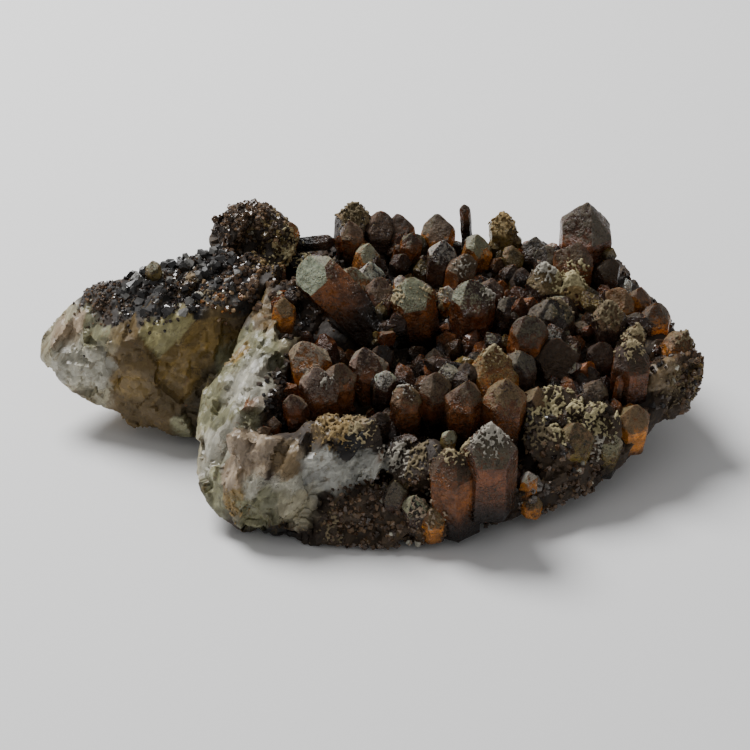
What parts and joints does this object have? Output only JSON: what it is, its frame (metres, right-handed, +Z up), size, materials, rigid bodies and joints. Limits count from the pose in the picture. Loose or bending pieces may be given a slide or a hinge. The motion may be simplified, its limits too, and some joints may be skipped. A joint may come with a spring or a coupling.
{
  "type": "quartz cluster specimen",
  "caption": "Loose mineral specimen: iron-stained quartz points crowded on a boat-shaped piece of milky quartz matrix, resting on a small flat spot underneath.",
  "frame": {"origin": "on the surface it rests on, under the middle of the specimen's length and depth", "axes": "+X along the length, with the massive milky lobe at -X and the amber points at +X; +Z up; -Y is the front, below the low front edge"},
  "size_m": [0.1796, 0.1046, 0.053],
  "materials": {
    "stained_quartz": "glassy reddish-brown and amber quartz points under a dull grey-tan film"
  },
  "bodies": {
    "root": {"quartz_cluster": "stained_quartz"}
  },
  "joints": []
}
